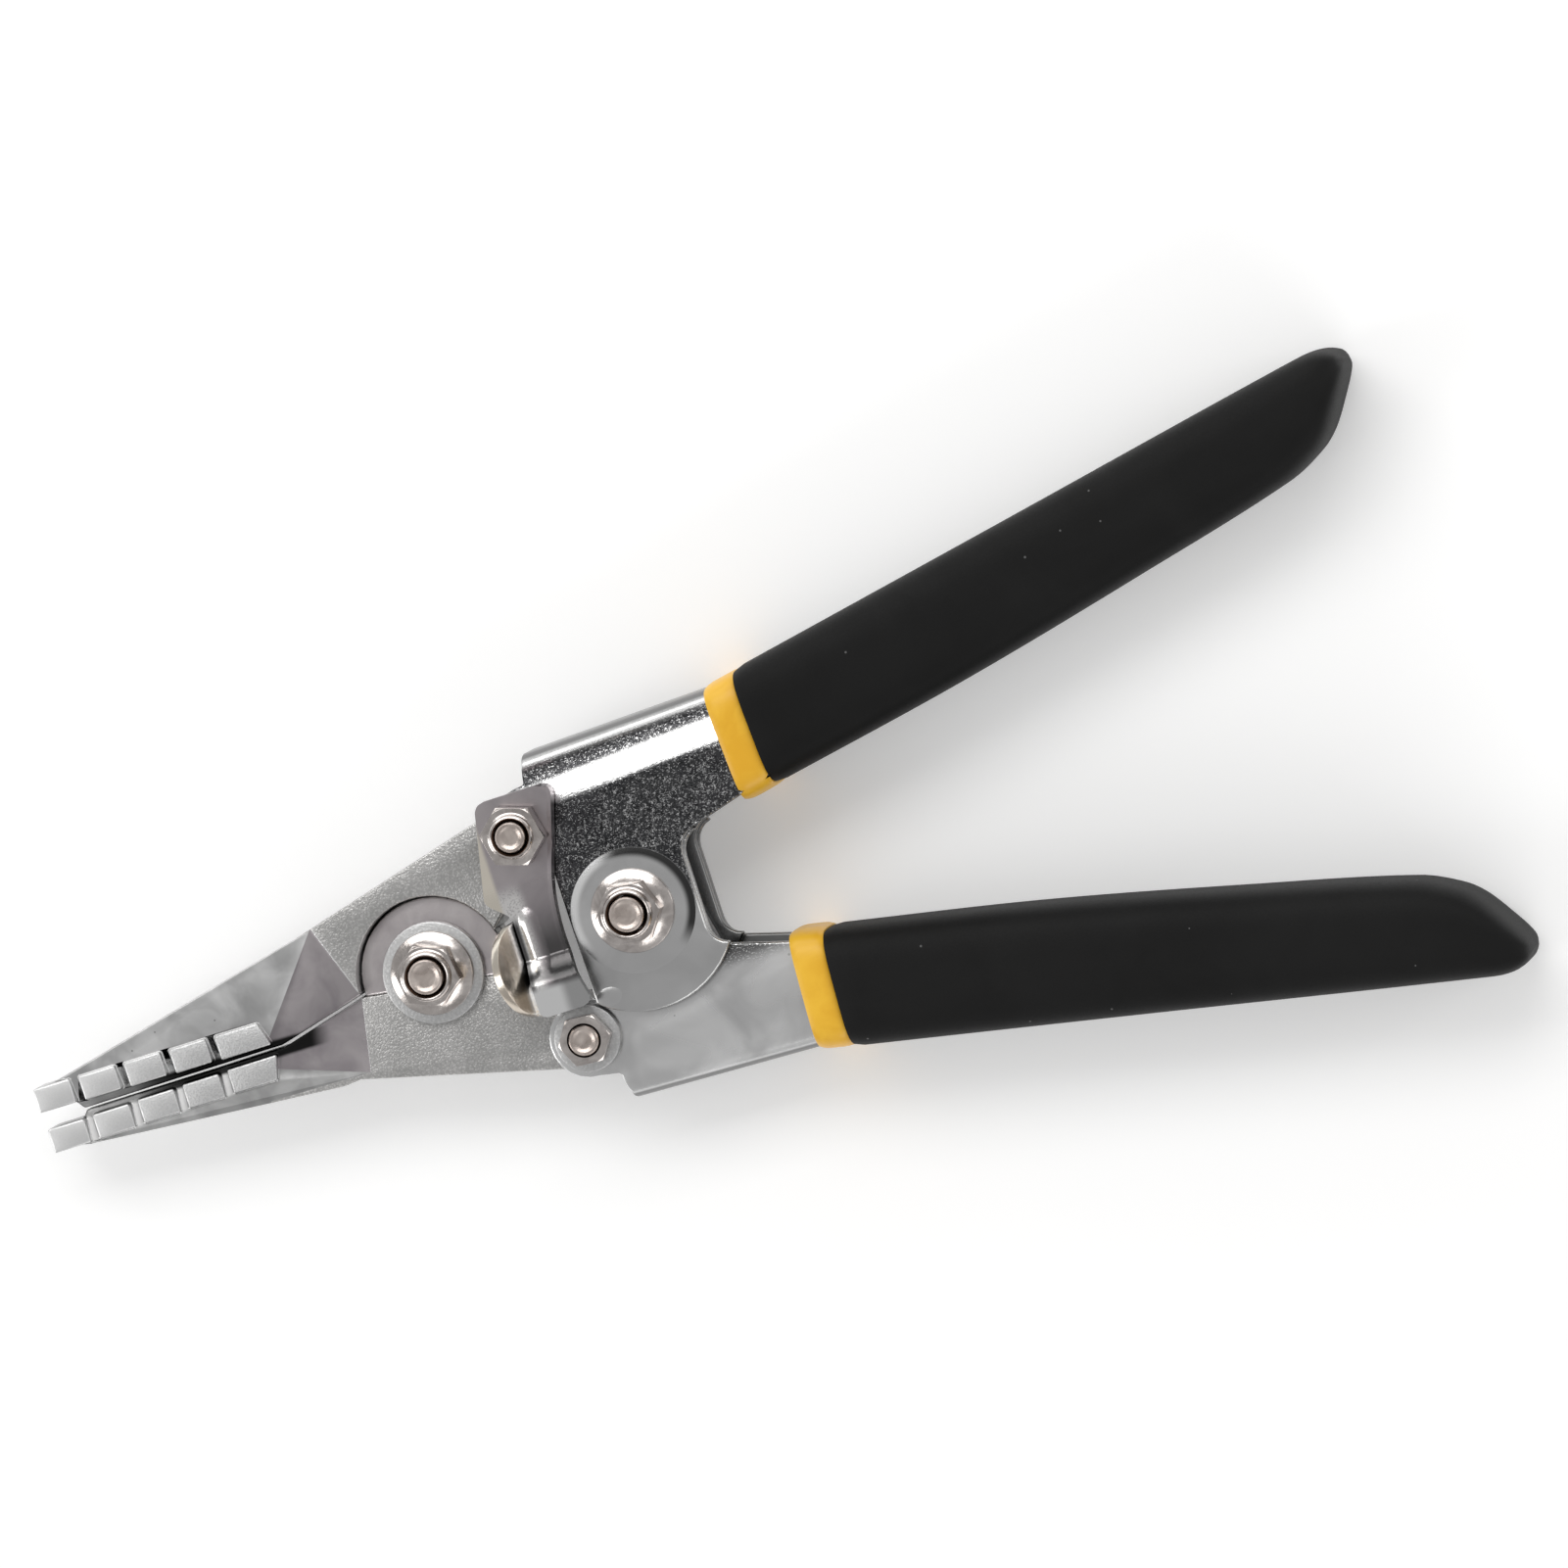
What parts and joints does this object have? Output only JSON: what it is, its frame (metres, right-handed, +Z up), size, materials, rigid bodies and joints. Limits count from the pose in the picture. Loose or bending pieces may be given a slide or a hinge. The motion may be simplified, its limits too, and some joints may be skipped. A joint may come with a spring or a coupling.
{
  "type": "aviation snips",
  "caption": "Compound-leverage hand snips with toothed bending jaws, channel handles, dipped grips, a thumb latch and four pivots.",
  "frame": {"origin": "the handle pivot's axis, on the plane that the tool lies on, which is the flat back of the handle pivot bolt's head", "axes": "+X from the jaws towards the handle ends, +Y towards the upper handle (the one that carries the latch), +Z up, towards the nuts and the latch"},
  "size_m": [0.2509, 0.1082, 0.0295],
  "materials": {
    "jaw_plating": "plated cast surface, satin",
    "handle_plating": "bright plated sheet",
    "latch_plating": "plated sheet, faint purple tone",
    "fastener_plating": "bright nickel",
    "washer_steel": "rough",
    "spring_steel": "satin",
    "grip_black": "matte",
    "collar_yellow": "satin"
  },
  "bodies": {
    "lower_handle": {"lower_handle": "handle_plating", "lower_collar": "collar_yellow", "lower_grip": "grip_black", "handle_pivot_bolt": "fastener_plating", "handle_pivot_nut": "fastener_plating", "handle_pivot_bush": "washer_steel", "handle_spring": "spring_steel", "lower_link_bolt": "fastener_plating", "lower_link_nut": "fastener_plating", "lower_link_washer": "washer_steel"},
    "upper_handle": {"upper_handle": "handle_plating", "upper_collar": "collar_yellow", "upper_grip": "grip_black", "upper_link_bolt": "fastener_plating", "upper_link_nut": "fastener_plating"},
    "upper_jaw": {"upper_jaw": "jaw_plating"},
    "lower_jaw": {"lower_jaw": "jaw_plating", "jaw_pivot_bolt": "fastener_plating", "jaw_pivot_nut": "fastener_plating", "jaw_pivot_washer": "washer_steel", "jaw_pivot_back_washer": "washer_steel"},
    "latch": {"latch": "latch_plating"}
  },
  "joints": [
    {"name": "handle_pivot", "type": "hinge", "parent": "lower_handle", "child": "upper_handle", "pos_m": [0, 0, 0.0115], "axis": [0, 0, 1], "range_deg": [0, 22]},
    {"name": "upper_jaw_link", "type": "hinge", "parent": "upper_handle", "child": "upper_jaw", "pos_m": [-0.0145, 0.0182, 0.0115], "axis": [0, 0, 1], "range_deg": [-18.6, 0]},
    {"name": "lower_jaw_link", "type": "hinge", "parent": "lower_handle", "child": "lower_jaw", "pos_m": [-0.0145, -0.0182, 0.0115], "axis": [0, 0, 1], "range_deg": [0, 18.6]},
    {"name": "latch_swing", "type": "hinge", "parent": "upper_handle", "child": "latch", "pos_m": [-0.0145, 0.0182, 0.0115], "axis": [0, 0, 1], "range_deg": [0, 12]}
  ],
  "couplings": [
    {"joint": "upper_jaw_link", "follows": "handle_pivot", "ratio": -0.845},
    {"joint": "lower_jaw_link", "follows": "handle_pivot", "ratio": 0.845}
  ]
}
